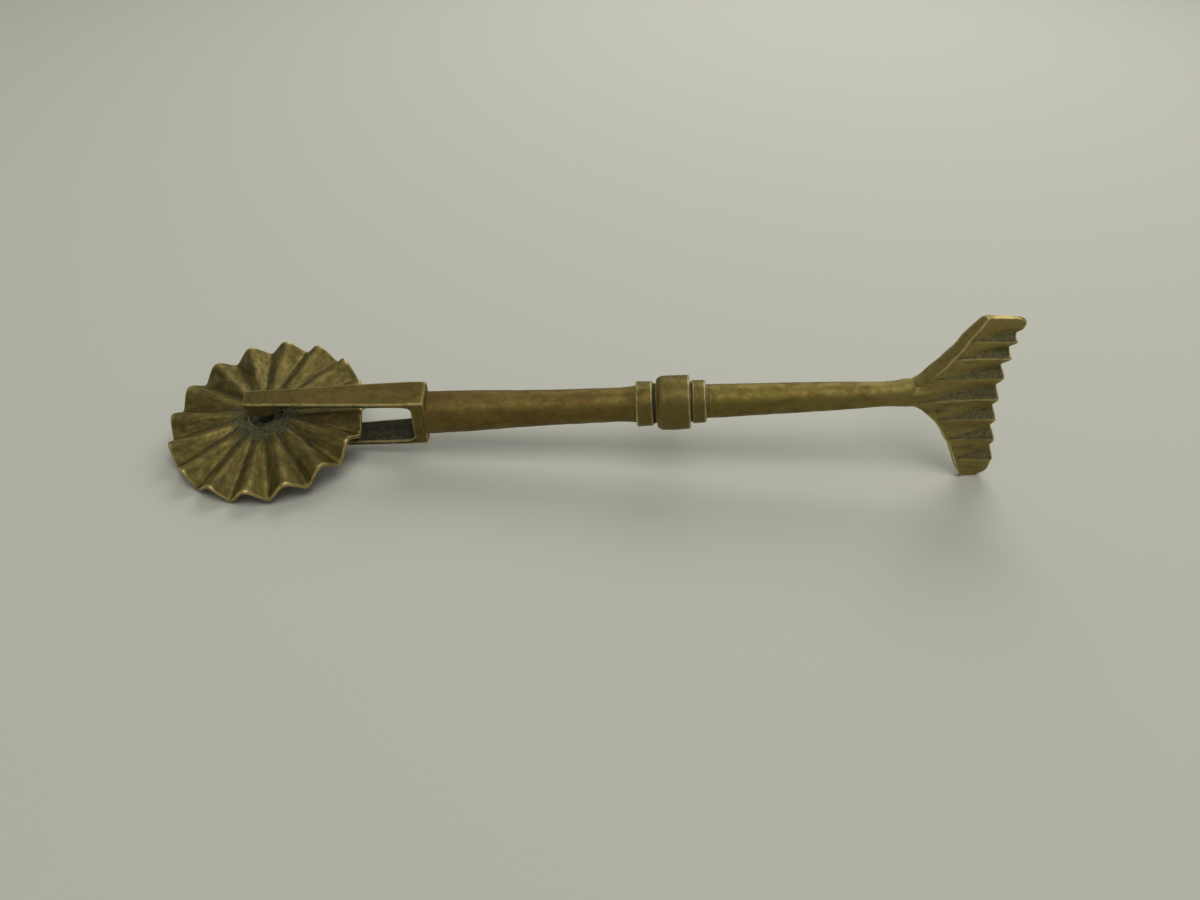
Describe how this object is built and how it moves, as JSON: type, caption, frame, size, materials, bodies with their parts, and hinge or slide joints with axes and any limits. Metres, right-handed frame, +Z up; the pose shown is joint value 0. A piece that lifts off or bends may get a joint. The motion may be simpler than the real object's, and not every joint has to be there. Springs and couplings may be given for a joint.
{
  "type": "pastry cutter wheel",
  "caption": "Brass pastry jigger: a fluted crimping wheel turning on a rivet in a slim fork, a turned handle with a stepped collar, and a corrugated fishtail crimper.",
  "frame": {"origin": "middle of the tool's box, on the table that it lies on", "axes": "+X from the wheel to the fishtail, +Z up from the table, +Y away from the side whose wheel rim rests on the table; the tool lies rolled 14.3 and pitched 5.5 degrees"},
  "size_m": [0.1558, 0.0366, 0.036],
  "materials": {
    "wheel_brass": "aged, dirt in the flutes, worn bright on the rim",
    "rivet_brass": "aged, hammered",
    "fork_brass": "aged, filed flat, worn on the corners",
    "shaft_brass": "aged, turned, handled to a dull sheen",
    "collar_brass": "aged, turned, worn on the corners",
    "tail_brass": "aged, dirt in the grooves, worn bright on the crests"
  },
  "bodies": {
    "handle": {"fork": "fork_brass", "axle_rivet": "rivet_brass", "front_shaft": "shaft_brass", "collar_front_ring": "collar_brass", "collar_band": "collar_brass", "collar_rear_ring": "collar_brass", "rear_shaft": "shaft_brass", "fishtail_crimper": "tail_brass"},
    "wheel": {"crimp_wheel": "wheel_brass"}
  },
  "joints": [
    {"name": "wheel_spin", "type": "hinge", "parent": "handle", "child": "wheel", "pos_m": [-0.0593, 0.00015, 0.00675], "axis": [-0.0929, -0.247, 0.9646], "continuous": true}
  ]
}
